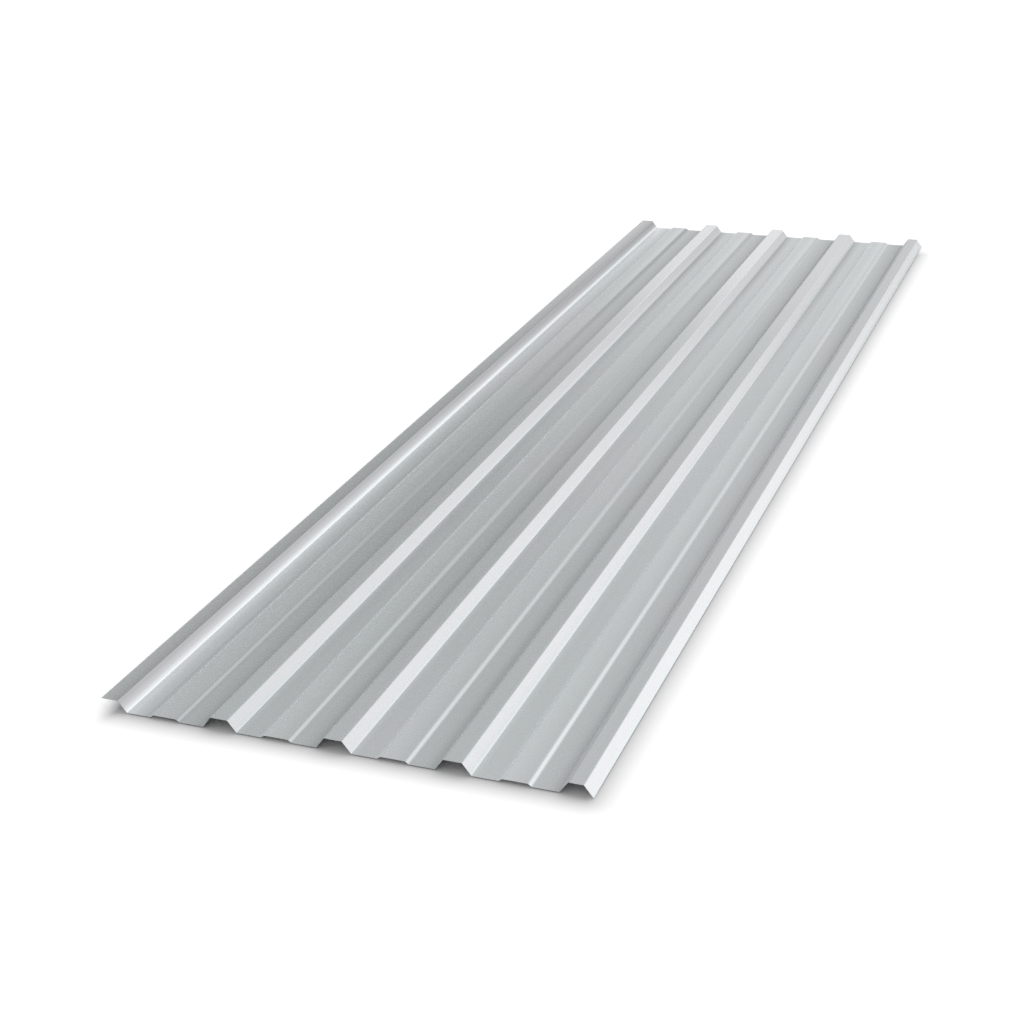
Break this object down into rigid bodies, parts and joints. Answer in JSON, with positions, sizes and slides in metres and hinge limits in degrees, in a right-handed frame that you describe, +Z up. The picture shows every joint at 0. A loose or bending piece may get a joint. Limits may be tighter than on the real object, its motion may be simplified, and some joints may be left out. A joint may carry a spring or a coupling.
{
  "type": "ribbed metal roofing sheet",
  "caption": "Long roll-formed steel roofing sheet with raised box ribs, a low stiffener in each flat pan and a crown that laps over the edge rib of the next sheet.",
  "frame": {"origin": "on the floor under the middle of the sheet: the centre of its bounding box in X and Y, and the underside of the pans in Z", "axes": "+Y along the ribs, towards the end that is far off in the picture; +X across the ribs, from the edge that laps over the next sheet to the edge with the whole rib; +Z up, towards the rib crowns"},
  "size_m": [1.0594, 3.6576, 0.0259],
  "materials": {
    "coated_steel": "bare aluminium-zinc coated steel strip, satin, with faint lengthwise mill streaks"
  },
  "bodies": {
    "root": {"ribbed_sheet": "coated_steel"}
  },
  "joints": []
}
